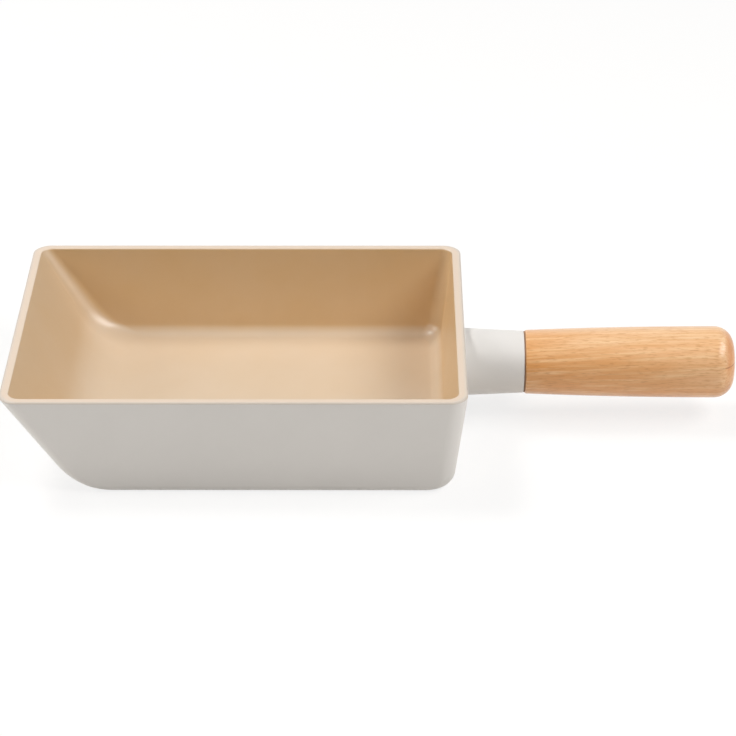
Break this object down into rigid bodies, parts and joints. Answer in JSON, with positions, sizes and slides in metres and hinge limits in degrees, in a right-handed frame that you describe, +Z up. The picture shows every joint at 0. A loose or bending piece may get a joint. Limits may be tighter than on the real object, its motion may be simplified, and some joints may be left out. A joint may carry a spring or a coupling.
{
  "type": "omelette pan",
  "caption": "Rectangular pan for rolled omelettes, with a sloping far end, a pale ceramic-coated cast body, a beige lining and a turned wooden grip screwed to its tapered neck.",
  "frame": {"origin": "middle of the flat underside that the pan stands on", "axes": "+Z up, +X from the sloping end towards the grip along its axis, +Y across the pan"},
  "size_m": [0.3106, 0.15, 0.0456],
  "materials": {
    "outer_coat": "satin",
    "inner_coat": "satin",
    "base_steel": "satin",
    "gasket": "matte",
    "grip_wood": "satin",
    "fastener_steel": "satin",
    "spring_steel": "satin"
  },
  "bodies": {
    "root": {"pan_body": "outer_coat", "ceramic_lining": "inner_coat", "induction_plate": "base_steel", "grip_gasket": "gasket", "wooden_grip": "grip_wood", "handle_screw": "fastener_steel", "flat_washer": "fastener_steel", "spring_washer": "spring_steel", "threaded_insert": "fastener_steel"}
  },
  "joints": []
}
